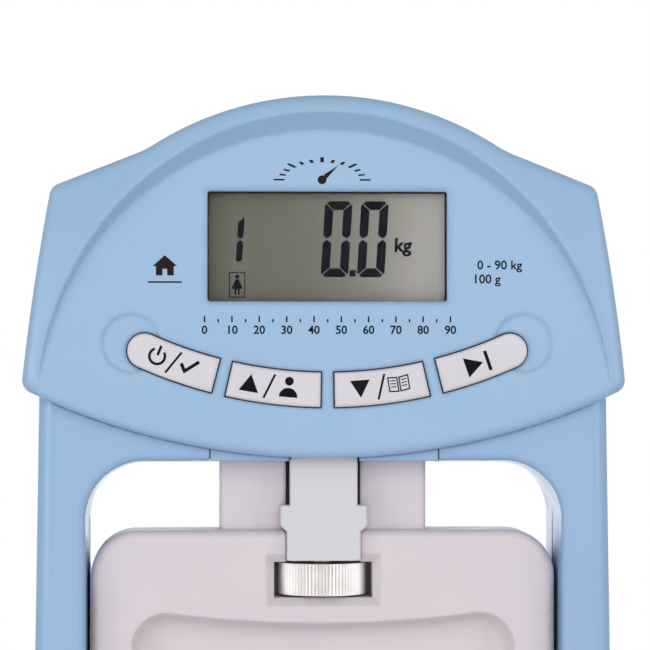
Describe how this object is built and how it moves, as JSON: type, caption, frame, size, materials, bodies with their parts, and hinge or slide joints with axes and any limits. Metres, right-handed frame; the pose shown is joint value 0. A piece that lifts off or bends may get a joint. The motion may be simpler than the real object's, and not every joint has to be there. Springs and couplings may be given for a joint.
{
  "type": "hand dynamometer",
  "caption": "Electronic grip-strength meter: a blue head with a display and keys on a U-shaped frame, and an adjustable inner grip pulled by the fingers.",
  "frame": {"origin": "under the middle of the whole object, on the plane that its back lies on", "axes": "+Z out of the display, +Y towards the top of the head, +X across the handle"},
  "size_m": [0.1296, 0.196, 0.0343],
  "materials": {
    "cover_blue": "satin moulded ABS, light blue",
    "frame_blue": "satin moulded ABS, light blue",
    "grip_white": "fine-grained moulded ABS, warm pinkish white",
    "post_white": "smooth moulded acetal, cool white",
    "key_white": "smooth moulded caps with printed marks",
    "clear_plastic": "clear acrylic",
    "lcd": "grey-green reflective display",
    "holder_white": "white moulding",
    "elastomer": "layered conductive rubber",
    "nickel": "nickel plated, turned",
    "steel": "bright zinc plated steel",
    "cell_alloy": "milled aluminium",
    "board": "green solder mask",
    "chip": "black epoxy",
    "switch": "black moulding",
    "gauge": "foil on amber film",
    "battery_case": "plain dark jacket",
    "wire": "soft insulated wire",
    "plate": "blank satin plate"
  },
  "bodies": {
    "housing": {"head_cover": "cover_blue", "frame_front": "frame_blue", "rear_housing": "frame_blue", "guide_block": "frame_blue", "housing_screws": "steel", "display_lens": "clear_plastic", "lcd_glass": "lcd", "lcd_holder": "holder_white", "zebra_strip": "elastomer", "circuit_board": "board", "board_screws": "steel", "tact_switches": "switch", "board_chips": "chip", "load_cell": "cell_alloy", "cell_screws": "steel", "strain_gauges": "gauge", "battery_lower": "battery_case", "battery_upper": "battery_case", "battery_contacts": "steel", "battery_springs": "steel", "rating_plate": "plate", "cell_lead": "wire", "battery_leads": "wire"},
    "post": {"pull_post": "post_white", "adjusting_screw": "steel", "pull_rod": "steel", "rod_nut": "steel"},
    "grip": {"grip_front": "grip_white", "grip_rear": "grip_white", "grip_screws": "steel"},
    "wheel": {"thumbwheel": "nickel"},
    "power_key": {"key_power": "key_white"},
    "up_key": {"key_up": "key_white"},
    "down_key": {"key_down": "key_white"},
    "start_key": {"key_start": "key_white"},
    "battery_lid": {"battery_cover": "frame_blue"}
  },
  "joints": [
    {"name": "squeeze", "type": "slide", "parent": "housing", "child": "post", "axis": [0, -1, 0], "range_m": [0, 0.0006], "stiffness_N_per_m": 20000},
    {"name": "grip_adjust", "type": "slide", "parent": "post", "child": "grip", "axis": [0, -1, 0], "range_m": [0, 0.012]},
    {"name": "wheel_turn", "type": "hinge", "parent": "grip", "child": "wheel", "pos_m": [0, -0.00615, 0.013], "axis": [0, 1, 0], "range_deg": [0, 4320]},
    {"name": "power_key_press", "type": "slide", "parent": "housing", "child": "power_key", "axis": [0, 0, -1], "range_m": [0, 0.0005], "stiffness_N_per_m": 350},
    {"name": "up_key_press", "type": "slide", "parent": "housing", "child": "up_key", "axis": [0, 0, -1], "range_m": [0, 0.0005], "stiffness_N_per_m": 350},
    {"name": "down_key_press", "type": "slide", "parent": "housing", "child": "down_key", "axis": [0, 0, -1], "range_m": [0, 0.0005], "stiffness_N_per_m": 350},
    {"name": "start_key_press", "type": "slide", "parent": "housing", "child": "start_key", "axis": [0, 0, -1], "range_m": [0, 0.0005], "stiffness_N_per_m": 350},
    {"name": "lid_lift", "type": "slide", "parent": "housing", "child": "battery_lid", "axis": [0, 0, -1], "range_m": [0, 0.03]}
  ],
  "couplings": [
    {"joint": "wheel_turn", "follows": "grip_adjust", "rad_per_m": 6283.2}
  ]
}
